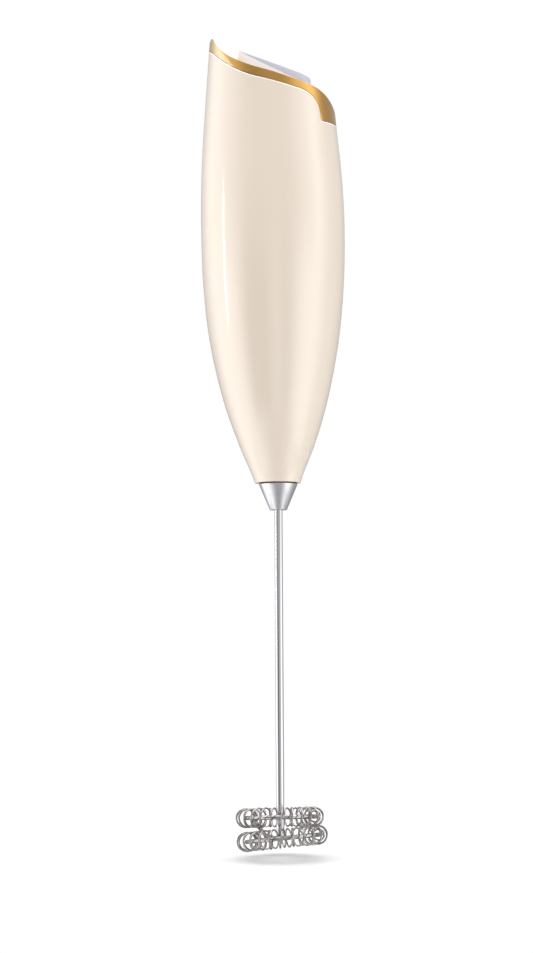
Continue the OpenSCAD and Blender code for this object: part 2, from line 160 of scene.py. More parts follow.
def soft_edges(obj, loops, width, segments=3):
    """Rounds the edges that run along the given loops of vertex indices."""
    wanted = set()
    for loop in loops:
        n = len(loop)
        wanted |= {tuple(sorted((loop[i], loop[(i + 1) % n]))) for i in range(n)}
    attribute = obj.data.attributes.new("bevel_weight_edge", "FLOAT", "EDGE")
    values = [1.0 if tuple(sorted(e.vertices)) in wanted else 0.0 for e in obj.data.edges]
    attribute.data.foreach_set("value", values)
    bevel = obj.modifiers.new("soft_edges", "BEVEL")
    bevel.limit_method = "WEIGHT"
    bevel.width = width * MM
    bevel.segments = segments
    bevel.use_clamp_overlap = True
    return obj


def lathe(profile, sides=96):
    """Revolves a closed outline of (radius, height) round the Z axis."""
    angles = np.linspace(0, 2 * math.pi, sides, endpoint=False)
    loops = []
    for r, z in profile:
        loops.append(np.stack([r * np.cos(angles), r * np.sin(angles), np.full(sides, z)], 1))
    return wrap(loops)


def rounded(profile, radius, steps=4):
    """A closed outline with each corner replaced by a short curve of about that radius."""
    out = []
    n = len(profile)
    for i in range(n):
        p = np.array(profile[i], float)
        a = np.array(profile[i - 1], float) - p
        b = np.array(profile[(i + 1) % n], float) - p
        length_a, length_b = np.linalg.norm(a), np.linalg.norm(b)
        cut = min(radius, 0.45 * length_a, 0.45 * length_b)
        start, end = p + a / length_a * cut, p + b / length_b * cut
        for t in np.linspace(0, 1, steps + 1):
            out.append(tuple((1 - t) ** 2 * start + 2 * t * (1 - t) * p + t * t * end))
    return out


def sweep(path, radius, sides, closed=False):
    """A round wire along a path of points."""
    path = np.asarray(path, float)
    if closed:
        tangent = np.roll(path, -1, 0) - np.roll(path, 1, 0)
    else:
        tangent = np.gradient(path, axis=0)
    tangent /= np.linalg.norm(tangent, axis=1)[:, None]
    not_along_the_path = [0.3, 0.2, 1.0]
    u = np.cross(tangent[0], not_along_the_path)
    u /= np.linalg.norm(u)
    frames = []
    for t in tangent:
        u = u - t * (u @ t)
        u /= np.linalg.norm(u)
        frames.append((u.copy(), np.cross(t, u)))
    if closed:
        first, last = frames[0][0], frames[-1][0]
        twist = math.atan2(last @ frames[0][1], last @ first)
        for i, (p, q) in enumerate(frames):
            a = -twist * i / len(path)
            frames[i] = (p * math.cos(a) + q * math.sin(a), q * math.cos(a) - p * math.sin(a))
    angles = np.linspace(0, 2 * math.pi, sides, endpoint=False)
    loops = []
    for p, (u, v) in zip(path, frames):
        loops.append(p + radius * (np.outer(np.cos(angles), u) + np.outer(np.sin(angles), v)))
    return wrap(loops) if closed else capped(loops)


def slab(outline, y_from, y_to):
    """An outline of (x, z) as a flat plate between two places along Y."""
    x, z = np.array(outline).T
    return capped([np.column_stack([x, np.full(len(x), y), z]) for y in (y_from, y_to)])


def joined(parts):
    """Several (points, faces) pairs as one."""
    verts, faces, offset = [], [], 0
    for v, f in parts:
        verts.append(np.asarray(v, float))
        faces += [tuple(i + offset for i in face) for face in f]
        offset += len(v)
    return np.concatenate(verts), faces


# ---------------------------------------------------------------- materials

def srgb(r, g, b):
    """Linear colour from 8-bit display values."""
    def one(c):
        c /= 255
        return c / 12.92 if c <= 0.04045 else ((c + 0.055) / 1.055) ** 2.4
    return (one(r), one(g), one(b), 1.0)


def node(tree, kind, **inputs):
    """A new shader node with values for its inputs, whose names have _ in place of spaces."""
    n = tree.nodes.new(kind)
    for key, value in inputs.items():
        n.inputs[key.replace("_", " ")].default_value = value
    return n


def finish_of(name, colour, rough, metal=0.0, tint=0.04, tint_scale=60, grain=900, bump=0.02,
              rough_spread=0.06, stretch=(1, 1, 1), coat=0.0, coat_rough=0.05, coat_ior=1.5,
              ior=1.5, aniso=0.0, glow=0.0):
    """A surface with slight colour and gloss variation and a fine relief, all in object space.

    glow is painted light: light that the surface gives off itself though it is no lamp, which keeps the
    palest plastics white and lifts their shaded faces.
    """
    m = bpy.data.materials.new(name)
    m.use_nodes = True
    tree = m.node_tree
    shader = tree.nodes["Principled BSDF"]
    shader.inputs["Metallic"].default_value = metal
    shader.inputs["IOR"].default_value = ior
    shader.inputs["Coat Weight"].default_value = coat
    shader.inputs["Coat Roughness"].default_value = coat_rough
    shader.inputs["Coat IOR"].default_value = coat_ior
    shader.inputs["Emission Color"].default_value = colour
    shader.inputs["Emission Strength"].default_value = glow
    shader.inputs["Anisotropic"].default_value = aniso
    place = tree.nodes.new("ShaderNodeTexCoord")
    scale = node(tree, "ShaderNodeMapping", Scale=stretch)
    tree.links.new(place.outputs["Object"], scale.inputs["Vector"])

    broad = node(tree, "ShaderNodeTexNoise", Scale=tint_scale, Detail=3.0)
    tree.links.new(scale.outputs["Vector"], broad.inputs["Vector"])
    ramp = tree.nodes.new("ShaderNodeValToRGB")
    dark = [c * (1 - tint) for c in colour[:3]] + [1]
    light = [min(1, c * (1 + tint)) for c in colour[:3]] + [1]
    ramp.color_ramp.elements[0].position = 0.35
    ramp.color_ramp.elements[0].color = dark
    ramp.color_ramp.elements[1].position = 0.65
    ramp.color_ramp.elements[1].color = light
    tree.links.new(broad.outputs["Fac"], ramp.inputs["Fac"])
    tree.links.new(ramp.outputs["Color"], shader.inputs["Base Color"])

    fine = node(tree, "ShaderNodeTexNoise", Scale=grain, Detail=4.0)
    tree.links.new(scale.outputs["Vector"], fine.inputs["Vector"])
    spread = tree.nodes.new("ShaderNodeMapRange")
    spread.inputs["To Min"].default_value = max(0.01, rough - rough_spread)
    spread.inputs["To Max"].default_value = rough + rough_spread
    tree.links.new(fine.outputs["Fac"], spread.inputs["Value"])
    tree.links.new(spread.outputs["Result"], shader.inputs["Roughness"])
    relief = node(tree, "ShaderNodeBump", Strength=bump, Distance=0.0002)
    tree.links.new(fine.outputs["Fac"], relief.inputs["Height"])
    tree.links.new(relief.outputs["Normal"], shader.inputs["Normal"])
    return m


CREAM = finish_of("cream_gloss", srgb(240, 225, 208), 0.25, tint=0.01, tint_scale=25, grain=700,
                  bump=0.015, rough_spread=0.03, coat=1.0, coat_rough=0.1, coat_ior=1.75, ior=1.6)
# Paler cream that glows, for the band along the handle's rim: a painted highlight on the rim edge.
CREAM_RIM_PAINTED_HIGHLIGHT = finish_of("cream_rim_painted_highlight", srgb(255, 252, 247), 0.3, tint=0.01, tint_scale=25, grain=700,
                       bump=0.01, rough_spread=0.03, coat=1.0, coat_rough=0.1, coat_ior=1.75, glow=0.25)
GOLD = finish_of("gold_trim", srgb(217, 166, 84), 0.22, metal=1.0, tint=0.04, tint_scale=90,
                 grain=1500, bump=0.03, rough_spread=0.05, coat=0.6, coat_rough=0.15)
# Paler gold for a triangle on each side of the lip: a painted highlight, a reflection of bright light
# painted into the colour.
GOLD_PAINTED_HIGHLIGHT = finish_of("gold_painted_highlight", srgb(232, 208, 165), 0.24, metal=1.0, tint=0.03, tint_scale=90,
                       grain=1500, bump=0.03, rough_spread=0.05)
# The button's own white, with glow as painted light that lifts its shaded front wall.
BUTTON_WHITE_AND_GLOW = finish_of("button_white", srgb(243, 247, 255), 0.28, tint=0.01, grain=900,
                         bump=0.01, coat=0.2, glow=0.18)
# The lilac-grey of the button's top band and face, with a little glow as painted light.
BUTTON_LILAC_AND_GLOW = finish_of("button_lilac", srgb(188, 190, 205), 0.32, tint=0.015, grain=900,
                         bump=0.01, coat=0.2, glow=0.06)
# Paler white that glows, for the button's rounded edges and the band on its front end: a painted highlight.
BUTTON_PAINTED_HIGHLIGHT = finish_of("button_painted_highlight", srgb(236, 236, 243), 0.3, tint=0.01, grain=900,
                        bump=0.01, coat=0.3, glow=0.1)
SATIN = finish_of("satin_chrome", srgb(214, 214, 218), 0.2, metal=1.0, tint=0.03, tint_scale=400,
                  grain=2600, bump=0.03, stretch=(0.05, 0.05, 1), aniso=0.5)
POLISHED = finish_of("polished_steel", srgb(210, 209, 212), 0.1, metal=1.0, tint=0.03,
                     tint_scale=300, grain=2400, bump=0.02, stretch=(1, 1, 0.04), rough_spread=0.03)
# Its strong random tone, dark and pale along the wire, is painted sparkle: painted glints standing in for
# reflections.
WIRE = finish_of("whisk_wire", srgb(172, 168, 167), 0.1, metal=1.0, tint=0.35, tint_scale=420,
                 grain=3000, bump=0.03)
RUBBER = finish_of("dark_rubber", srgb(88, 62, 48), 0.6, tint=0.1, grain=1500, bump=0.2)
WHITE = finish_of("white_plastic", srgb(228, 228, 224), 0.45, tint=0.02, grain=1800, bump=0.12)
BLACK = finish_of("black_plastic", srgb(38, 38, 40), 0.5, tint=0.08, grain=1800, bump=0.15)
BOARD = finish_of("board_green", srgb(70, 105, 82), 0.45, tint=0.15, tint_scale=500, grain=2500,
                  bump=0.1)
ZINC = finish_of("zinc_steel", srgb(186, 188, 192), 0.34, metal=1.0, tint=0.06, tint_scale=250,
                 grain=1600, bump=0.05)
BRONZE = finish_of("bronze", srgb(170, 128, 80), 0.4, metal=1.0, tint=0.12, tint_scale=600,
                   grain=3000, bump=0.15)
COPPER = finish_of("copper", srgb(188, 108, 66), 0.3, metal=1.0, tint=0.12, tint_scale=700, grain=3000,
                   bump=0.3, stretch=(1, 1, 0.1))
BRASS = finish_of("contact_brass", srgb(205, 170, 98), 0.28, metal=1.0, tint=0.06, tint_scale=300,
                  grain=1800, bump=0.04)
NICKEL = finish_of("contact_nickel", srgb(200, 197, 188), 0.24, metal=1.0, tint=0.05,
                   tint_scale=300, grain=1800, bump=0.03)
FERRITE = finish_of("ferrite", srgb(62, 62, 65), 0.55, metal=0.3, tint=0.12, tint_scale=700,
                    grain=2500, bump=0.2)
CELL = finish_of("cell_wrap", srgb(64, 76, 92), 0.3, tint=0.05, tint_scale=120, grain=900,
                 bump=0.03, coat=0.4)

# Finish of each material slot; every CAD node gets the one that its slot names
FINISHES = {
    "cream_gloss": CREAM, "gold_trim": GOLD, "button_white": BUTTON_WHITE_AND_GLOW, "satin_chrome": SATIN,
    "polished_steel": POLISHED, "whisk_wire": WIRE, "dark_rubber": RUBBER, "white_plastic": WHITE,
    "black_plastic": BLACK, "board_green": BOARD, "zinc_steel": ZINC, "bronze": BRONZE,
    "copper": COPPER, "contact_brass": BRASS, "contact_nickel": NICKEL, "ferrite": FERRITE,
    "cell_wrap": CELL,
}
for part in frame["record"]["subparts"]:
    cad = frame["nodes"][part["node"]]
    cad.data.materials.clear()
    cad.data.materials.append(FINISHES[part["material_slot"]])


# ---------------------------------------------------------------- handle form

# The CAD handle's own sizes, so that the skin and the trim fit round its inner parts.
# Handle section by height: z, radius, offset of the section's centre along X
SECTIONS = np.array([
    [0, 6.05, -0.1], [2.6, 6.95, -0.2], [10.7, 10.25, -0.3], [23, 14.2, -0.6],
    [39, 17.5, -0.85], [55, 19.1, -0.95], [71, 19.45, -1.05], [84, 19.05, -1.3],
    [97, 18.05, -1.6], [124, 15.8, -1.9],
])
WALL = 1.6
RIM_GAP = 0.2
SHELL_BOTTOM = 0.3
LEDGE_BOTTOM, LEDGE_TOP, LEDGE_R = 17.5, 19.0, 7.0
NECK_TOP, NECK_R = 6.2, 3.52
TAB_BOTTOM = 97.2
TAB_LEFT = 12.05

# Layout of the mesh: points on each side of the handle in a loop round it, and the share of its height
# above which a wall's points shift round to the rim's
HALF = 150
RIM_TURNS_FROM = 0.55


def slopes(column):
    """Slope of the smooth curve at each row of SECTIONS."""
    n = len(SECTIONS)
    low = [max(i - 1, 0) for i in range(n)]
    high = [min(i + 1, n - 1) for i in range(n)]
    return (SECTIONS[high, column] - SECTIONS[low, column]) / (SECTIONS[high, 0] - SECTIONS[low, 0])


def section(z, column):
    """Smooth curve through one column of SECTIONS, the same as the CAD handle's."""
    z = np.asarray(z, float)
    m = slopes(column)
    i = np.clip(np.searchsorted(SECTIONS[:, 0], z, side="right") - 1, 0, len(SECTIONS) - 2)
    h = SECTIONS[i + 1, 0] - SECTIONS[i, 0]
    t = (z - SECTIONS[i, 0]) / h
    return ((2 * t ** 3 - 3 * t ** 2 + 1) * SECTIONS[i, column] + (t ** 3 - 2 * t ** 2 + t) * h * m[i]
            + (3 * t ** 2 - 2 * t ** 3) * SECTIONS[i + 1, column] + (t ** 3 - t ** 2) * h * m[i + 1])


def on_handle(angle, z, inset=0.0):
    """Points of the handle's outer form at these angles and heights."""
    r = section(z, 1) - inset
    return np.stack([section(z, 2) + r * np.cos(angle), r * np.sin(angle), z], -1)


def bezier(a, b, c, d, n=60):
    """Points along a cubic curve from a to d."""
    t = np.linspace(0, 1, n)[:, None]
    a, b, c, d = (np.array(p, float) for p in (a, b, c, d))
    return a * (1 - t) ** 3 + b * 3 * t * (1 - t) ** 2 + c * 3 * t ** 2 * (1 - t) + d * t ** 3


def dense(points, step=0.02):
    """The same polyline with points no further apart than step."""
    out = [points[0]]
    for a, b in zip(points[:-1], points[1:]):
        n = max(1, int(math.ceil(np.linalg.norm(b - a) / step)))
        out += [mix(a, b, i / n) for i in range(1, n + 1)]
    return np.array(out)


# Side view of the trim, as x and z from the back to the front: its upper edge, whose first curve is
# the rounded tip of the lip, and the seam between the trim and the handle, which ends at the tab
UPPER_EDGE = dense(np.concatenate([
    bezier([-18.5, 118.9], [-18.1, 120.3], [-17.4, 121.5], [-16.9, 120.5], 24)[:-1],
    bezier([-16.9, 120.5], [-15.4, 116.3], [-12.6, 113.9], [-5.9, 111.3]),
    bezier([8.1, 107], [13, 105.8], [16, 103.2], [17.2, 97]),
]))
SEAM = dense(np.concatenate([
    bezier([-19.1, 119.6], [-15.9, 114.8], [-12.4, 111.2], [-5.9, 108.9]),
    bezier([5.5, 105.8], [10, 104.9], [11.75, 102.4], [TAB_LEFT, TAB_BOTTOM + 0.8]),
    bezier([TAB_LEFT, TAB_BOTTOM + 0.8], [TAB_LEFT + 0.05, TAB_BOTTOM + 0.3],
           [TAB_LEFT + 0.3, TAB_BOTTOM], [TAB_LEFT + 0.8, TAB_BOTTOM], 12),
    np.array([[20, TAB_BOTTOM]], float),
]))


def edge_on_handle(curve, shift=(0.0, 0.0)):
    """Where a side-view curve, extruded across, meets the handle: a closed loop of 2 * HALF points
    from the back, round the -Y side to the front, and back round the +Y side."""
    x, z = curve[:, 0] + shift[0], curve[:, 1] + shift[1]
    gap = section(z, 1) ** 2 - (x - section(z, 2)) ** 2
    inside = np.where(gap > 0)[0]
    first, last = inside[0], inside[-1]
    x, z, gap = x[first:last + 1], z[first:last + 1], gap[first:last + 1]
    side = np.stack([x, -np.sqrt(gap), z], 1)
    side[0, 1] = 0
    side[-1, 1] = 0
    length = distance_along(side)
    wanted = np.linspace(0, 1, HALF + 1) * length[-1]
    near = np.stack([np.interp(wanted, length, side[:, k]) for k in range(3)], 1)
    far = near[1:-1][::-1] * [1, -1, 1]
    return np.concatenate([near, far])


def angles_of(loop):
    """Angle round the handle of each point of a loop, running from pi at the back to 3 pi."""
    a = np.arctan2(loop[:, 1], loop[:, 0] - section(loop[:, 2], 2))
    a = np.where(a < 0, a + 2 * math.pi, a)
    a[0] = math.pi
    a[HALF] = 2 * math.pi
    a[HALF + 1:] += 2 * math.pi
    return a


# As angles_of() gives, but evenly spaced on each side
EVEN = np.concatenate([
    np.linspace(math.pi, 2 * math.pi, HALF + 1),
    np.linspace(2 * math.pi, 3 * math.pi, HALF + 1)[1:-1],
])


def build_handle_shell():
    """The hollow handle: outer wall, rim, inner wall down to the cradle's ledge, and the neck."""
    n = len(EVEN)
    rim = edge_on_handle(SEAM, (-RIM_GAP / 2, -RIM_GAP))
    rim_angle, rim_z = angles_of(rim), rim[:, 2]
    loops = []

    def wall(shares, bottom, inset):
        """Rows of a wall at these shares of the way from its bottom up to the rim."""
        for share in shares:
            turned = smoothstep((share - RIM_TURNS_FROM) / (1 - RIM_TURNS_FROM))
            loops.append(on_handle(mix(EVEN, rim_angle, turned), mix(bottom, rim_z, share), inset))

    def disc(r, z):
        loops.append(np.stack([r * np.cos(EVEN), r * np.sin(EVEN), np.full(n, z)], 1))

    rows = 1 - (1 - np.linspace(0, 1, 150)) ** 1.15
    # Extra row just below the rim, where the band of painted highlight along the rim begins.
    highlight_band_bottom = 0.9976
    wall(np.concatenate([rows[rows < 0.993], [highlight_band_bottom, 1.0]]), SHELL_BOTTOM, 0.0)
    outer_rim = len(loops) - 1
    wall(1 - np.linspace(0, 1, 40) ** 0.9, LEDGE_TOP, WALL)
    disc(LEDGE_R, LEDGE_TOP)
    disc(LEDGE_R, LEDGE_BOTTOM)
    for z in np.linspace(LEDGE_BOTTOM, NECK_TOP, 8):
        loops.append(on_handle(EVEN, np.full(n, z), WALL))
    disc(NECK_R, NECK_TOP)
    disc(NECK_R, SHELL_BOTTOM)
    obj = add_piece("handle_skin", wrap(loops), "handle", [CREAM, CREAM_RIM_PAINTED_HIGHLIGHT],
                    ["handle_shell"])
    soft_edges(obj, [loop_at(0, n), loop_at(outer_rim, n), loop_at(outer_rim + 1, n)], 0.2, 4)
    # The band under the rim and the rounded rim take the paler glowing cream: a painted highlight along the
    # rim.
    for face in obj.data.polygons:
        if {v // n for v in face.vertices} <= {outer_rim - 1, outer_rim, outer_rim + 1}:
            face.material_index = 1


build_handle_shell()


# ---------------------------------------------------------------- top trim and button

SLOT = dict(back=-11.5, front=10.85, half=7.35, corner=3.0)
# Pale triangle of painted highlight on each side of the lip, a reflection painted on the smooth wall, in
# side view: its left edge, its apex, a point on its right edge and the foot of that edge
LIP_HIGHLIGHT = dict(left=-17.6, apex=(-16.9, 120.3), crease=(-14.9, 116.6), foot=(-11.2, 111.5))
ON_WALL_WITHIN = 0.15
SCREW_X, SCREW_Y = -13.1, 4.0
BOSS_R, BOSS_TOP = 1.9, 112.6
PIN_X, PIN_Z = -8.6, 109.4
LUG_Y, LUG_HALF = 8.4, 0.9
DECK_TOP = 103.0
PLATE = 1.7


def plan_loop(back, front, half, corner, directions):
    """Rounded rectangle in plan, one point in each direction (angle from its centre)."""
    centre = (back + front) / 2
    half_x = (front - back) / 2
    too_far, halvings = 60.0, 40
    points = []
    for a in directions:
        dx, dy = math.cos(a), math.sin(a)
        low, high = 0.0, too_far
        for _ in range(halvings):
            t = (low + high) / 2
            x, y = abs(t * dx), abs(t * dy)
            ox, oy = max(x - (half_x - corner), 0), max(y - (half - corner), 0)
            inside = x <= half_x and y <= half and math.hypot(ox, oy) <= corner
            low, high = (t, high) if inside else (low, t)
        points.append((centre + low * dx, low * dy))
    return np.array(points)


def build_top_trim():
    """The trim: its wall, its top round the button's slot, and its underside."""
    seam, edge = edge_on_handle(SEAM), edge_on_handle(UPPER_EDGE)
    n = len(seam)
    arc = distance_along(UPPER_EDGE)

    def along_of(x):
        return np.interp(x, UPPER_EDGE[:, 0], arc)

    def on_top(along, y, drop=0.0):
        """Points of the top at these distances along UPPER_EDGE, lowered by drop."""
        x = np.interp(along, arc, UPPER_EDGE[:, 0])
        z = np.interp(along, arc, UPPER_EDGE[:, 1])
        return np.stack([x, y, z - drop], 1)

    centre = (SLOT["back"] + SLOT["front"]) / 2
    directions = np.arctan2(edge[:, 1], edge[:, 0] - centre)
    slot = plan_loop(**SLOT, directions=directions)
    slot_along, edge_along = along_of(slot[:, 0]), along_of(edge[:, 0])

    loops = []
    seam_angle, edge_angle = angles_of(seam), angles_of(edge)
    for t in np.linspace(0, 1, 7):
        angle = mix(seam_angle, edge_angle, t)
        loops.append(on_handle(angle, mix(seam[:, 2], edge[:, 2], t)))
    loops[0], loops[-1] = seam, edge
    top_outer = len(loops) - 1
    for t in np.linspace(0, 1, 26)[1:]:
        loops.append(on_top(mix(edge_along, slot_along, t), mix(edge[:, 1], slot[:, 1], t)))
    top_inner = len(loops) - 1
    slot_underside = on_top(slot_along, slot[:, 1], PLATE)
    wall_foot = on_handle(seam_angle, seam[:, 2], 2.0)
    for t in np.linspace(0, 1, 12):
        loops.append(mix(slot_underside, wall_foot, t))
    obj = add_piece("top_trim_plate", wrap(loops), "carrier", [GOLD, GOLD_PAINTED_HIGHLIGHT],
                    ["top_trim"])
    soft_edges(obj, [loop_at(0, n), loop_at(top_outer, n), loop_at(top_inner, n)], 0.12)
    paint_lip_highlights(obj.data)


def paint_lip_highlights(mesh):
    """Paints a pale highlight, a reflection painted into the colour, on a triangle on each side of the lip,
    with straight edges cut into the mesh.
    """
    left, apex, crease, foot = (LIP_HIGHLIGHT[key] for key in ("left", "apex", "crease", "foot"))
    bm = bmesh.new()
    bm.from_mesh(mesh)
    left_edge = ((left, apex[1]), (left, foot[1]))
    for (xa, za), (xb, zb) in ((apex, crease), (crease, foot), left_edge):
        bmesh.ops.bisect_plane(
            bm, geom=bm.verts[:] + bm.edges[:] + bm.faces[:], dist=1e-7,
            plane_co=Vector((xa, 0, za)) * MM,
            plane_no=Vector((za - zb, 0, xb - xa)).normalized())
    for face in bm.faces:
        x, y, z = face.calc_center_median() / MM
        on_wall = math.hypot(x - section(z, 2), y) > section(z, 1) - ON_WALL_WITHIN
        upright = abs(face.normal.z) < 0.6
        upper, lower = (apex, crease) if z > crease[1] else (crease, foot)
        right = line(upper[::-1], lower[::-1], z)
        if on_wall and upright and left < x < right:
            face.material_index = 1
    bm.to_mesh(mesh)
    bm.free()


def build_trim_lugs():
    """Screw bosses and pin lugs that hang below the trim plate."""
    boss = rounded([(ON_AXIS, DECK_TOP), (BOSS_R, DECK_TOP), (BOSS_R, BOSS_TOP), (ON_AXIS, BOSS_TOP)], 0.15)
    half_x, bottom, top = 1.8, PIN_Z - 1.8, PIN_Z + 1.6
    lug = rounded([(PIN_X - half_x, bottom), (PIN_X + half_x, bottom),
                   (PIN_X + half_x, top), (PIN_X - half_x, top)], 0.9)
    parts = []
    for side in (-1, 1):
        verts, faces = lathe(boss, 32)
        parts.append((verts + [SCREW_X, side * SCREW_Y, 0], faces))
        parts.append(slab(lug, side * LUG_Y - LUG_HALF, side * LUG_Y + LUG_HALF))
    add_piece("trim_lugs", joined(parts), "carrier", [GOLD], ["top_trim"])


def build_trim_foot():
    """Narrow lower edge of the trim, which stays full along the seam, also under the painted highlights on
    each side of the lip.
    """
    seam = edge_on_handle(SEAM)
    angle = angles_of(seam)
    outer, inner, bottom, top = 0.03, 1.9, 0.02, 0.32
    corners = [(outer, bottom), (outer, top), (inner, top), (inner, bottom)]
    loops = [on_handle(angle, seam[:, 2] + rise, inset) for inset, rise in corners]
    add_piece("trim_foot", wrap(loops), "carrier", [GOLD], ["top_trim"])


build_top_trim()
build_trim_foot()
build_trim_lugs()

BUTTON = dict(back=-11.0, front=10.5, half=7.0, corner=2.9)
BUTTON_DOME = 0.1  # rise of the middle of its pressing face
BUTTON_LEAN_FROM = 1.5  # height over its underside above which its ends draw in
BUTTON_HIGHLIGHT_BAND = 1.1  # length of the pale band on its front end
BUTTON_LUG = [(-1.5, 107.8), (1.5, 107.8), (2.0, 110.6), (-1.7, 110.8)]  # x from the pin, z
BUTTON_LUG_HALF = 5.0


def bottom_line(x):
    """Height of the button's underside in side view."""
    return line((-6.2, 110.0), (9.9, 105.6), x)


def top_line(x):
    """Height of the edge of its pressing face, which slopes down to the front."""
    return line((-9.8, 117.05), (8.9, 110.6), x)


def wall_line(x):
    """Height where its upright wall ends; the slanted band above it widens to the front."""
    return np.minimum(line((-9.65, 116.75), (5.1, 109.55), x), top_line(x) - 0.12)


def build_button():
    """The rocker button: a block with a slanted band round its sloping face, and its hinge lug."""
    base = plan_loop(**BUTTON, directions=EVEN[::2])
    n = len(base)
    middle = np.array([(BUTTON["back"] + BUTTON["front"]) / 2, 0])
    half_length = (BUTTON["front"] - BUTTON["back"]) / 2

    def lean(plan, z):
        """Draws the ends in as the block rises: more at the back than at the front."""
        height = np.maximum(z - bottom_z - BUTTON_LEAN_FROM, 0)
        from_middle = plan[:, 0] - middle[0]
        rate = np.where(from_middle < 0, 0.25, -0.1)
        near_end = np.clip(np.abs(from_middle) / half_length, 0, 1) ** 6
        return np.column_stack([plan[:, 0] + rate * height * near_end, plan[:, 1], z])

    def inset(amount):
        """The plan loop drawn in by one amount, or by one for each point."""
        q = base - middle
        scale_x = 1 - amount / half_length
        scale_y = 1 - amount / BUTTON["half"]
        return middle + np.stack([q[:, 0] * scale_x, q[:, 1] * scale_y], 1)

    bottom_z = bottom_line(base[:, 0])
    low_edge = bottom_z + 0.3
    loops = []
    for plan in (inset(3.0), inset(0.3)):
        loops.append(np.column_stack([plan, bottom_line(plan[:, 0])]))
    loops.append(np.column_stack([base, low_edge]))
    low_row = len(loops) - 1
    wall_z = wall_line(base[:, 0])
    for t in (0.4, 0.75, 1.0):
        loops.append(lean(base, mix(low_edge, wall_z, t)))
    wall_top = len(loops) - 1
    rise = top_line(base[:, 0]) - wall_z
    slant = 0.36
    for t in (0.5, 1.0):
        loops.append(lean(inset(rise * slant * t), wall_z + rise * t))
    top_edge = len(loops) - 1
    for t in np.linspace(0, 1, 9)[1:-1]:
        plan = mix(loops[top_edge][:, :2], middle, t)
        dome = BUTTON_DOME * (1 - (1 - t) ** 2)
        loops.append(np.column_stack([plan, top_line(plan[:, 0]) + dome]))

    verts, faces = bands(loops)
    last = (len(loops) - 1) * n
    crown, underside = len(verts), len(verts) + 1
    verts = np.concatenate([verts, [[middle[0], 0, top_line(middle[0]) + BUTTON_DOME],
                                    [middle[0], 0, bottom_line(middle[0])]]])
    for i in range(n):
        k = (i + 1) % n
        faces.append((last + i, last + k, crown))
        faces.append((k, i, underside))
    lug = slab(rounded([(PIN_X + x, z) for x, z in BUTTON_LUG], 0.8), -BUTTON_LUG_HALF, BUTTON_LUG_HALF)
    obj = add_piece("button_cap", joined([(verts, faces), lug]), "button",
                    [BUTTON_WHITE_AND_GLOW, BUTTON_LILAC_AND_GLOW, BUTTON_PAINTED_HIGHLIGHT], ["switch_button"])
    # The band of wall at the front end takes the paler glowing white: a painted highlight.
    highlight_band_from = (BUTTON["front"] - BUTTON_HIGHLIGHT_BAND) * MM
    for face in obj.data.polygons[:len(faces)]:
        row = min(face.vertices) // n
        if row >= wall_top:
            face.material_index = 1
        if low_row <= row <= top_edge and face.center.x > highlight_band_from:
            face.material_index = 2
    soft_edges(obj, [loop_at(wall_top, n), loop_at(top_edge, n)], 0.3, 4)
    # The rounded edges take the paler glowing white too: painted highlights along them.
    obj.modifiers["soft_edges"].material = 2


build_button()


# ---------------------------------------------------------------- battery cells

CARRIER_X = -1.5
CELL_Y, CELL_Z, CELL_H, CELL_R = 7.35, 51.0, 49.2, 7.1


def build_cells():
    """Printed sleeve, crimped steel ends and contact nub of the two cells, which lie head to tail."""
    sleeve = rounded([
        (CELL_R - 0.25, 0.35), (CELL_R, 0.35), (CELL_R, 48.7), (CELL_R - 0.25, 48.7),
    ], 0.1) + [(6.2, 48.9), (6.2, 48.5), (CELL_R - 0.4, 48.2), (CELL_R - 0.4, 0.8)]
    can = rounded([
        (ON_AXIS, 0.0), (5.2, 0.0), (5.6, 0.25), (6.5, 0.25), (CELL_R - 0.35, 0.7), (CELL_R - 0.35, 48.0),
        (6.0, 48.75), (5.4, 48.75), (5.4, 48.3), (2.7, 48.3), (2.7, 50.2), (ON_AXIS, 50.2),
    ], 0.15)
    washer = rounded([(2.85, 48.3), (5.3, 48.3), (5.3, 48.6), (2.85, 48.6)], 0.08)
    coverings = (("_sleeve", sleeve, "cell_wrap", CELL), ("_can", can, "contact_nickel", NICKEL),
                 ("_washer", washer, "white_plastic", WHITE))
    for name, side, nub_down in (("battery_left", 1, False), ("battery_right", -1, True)):
        for suffix, outline, slot, material in coverings:
            verts, faces = lathe(outline, 72)
            z = CELL_Z + (CELL_H - verts[:, 2] if nub_down else verts[:, 2])
            verts = np.column_stack([verts[:, 0] + CARRIER_X, verts[:, 1] + side * CELL_Y, z])
            add_piece(name + suffix, (verts, faces), "carrier", [material], [name])


build_cells()


# ---------------------------------------------------------------- nose and whisk

CONE_H, CONE_TOP_R, CONE_TIP_R = 7.0, 5.25, 2.3
CONE_SEAT = -0.02
BORE_R, SEAL_R, BUSH_R, SPIGOT_R = 1.35, 1.75, 2.4, 3.5
SEAL_BOTTOM, BUSH_BOTTOM, SPIGOT_TOP = -5.2, 1.0, 6.0
GASKET_R = 5.15
SHAFT_R, SHAFT_TOP, SHAFT_TIP = 1.1, 13.5, -95.6
COIL_R = 2.45
CORE_R = 0.6
WIRE_R = 0.25


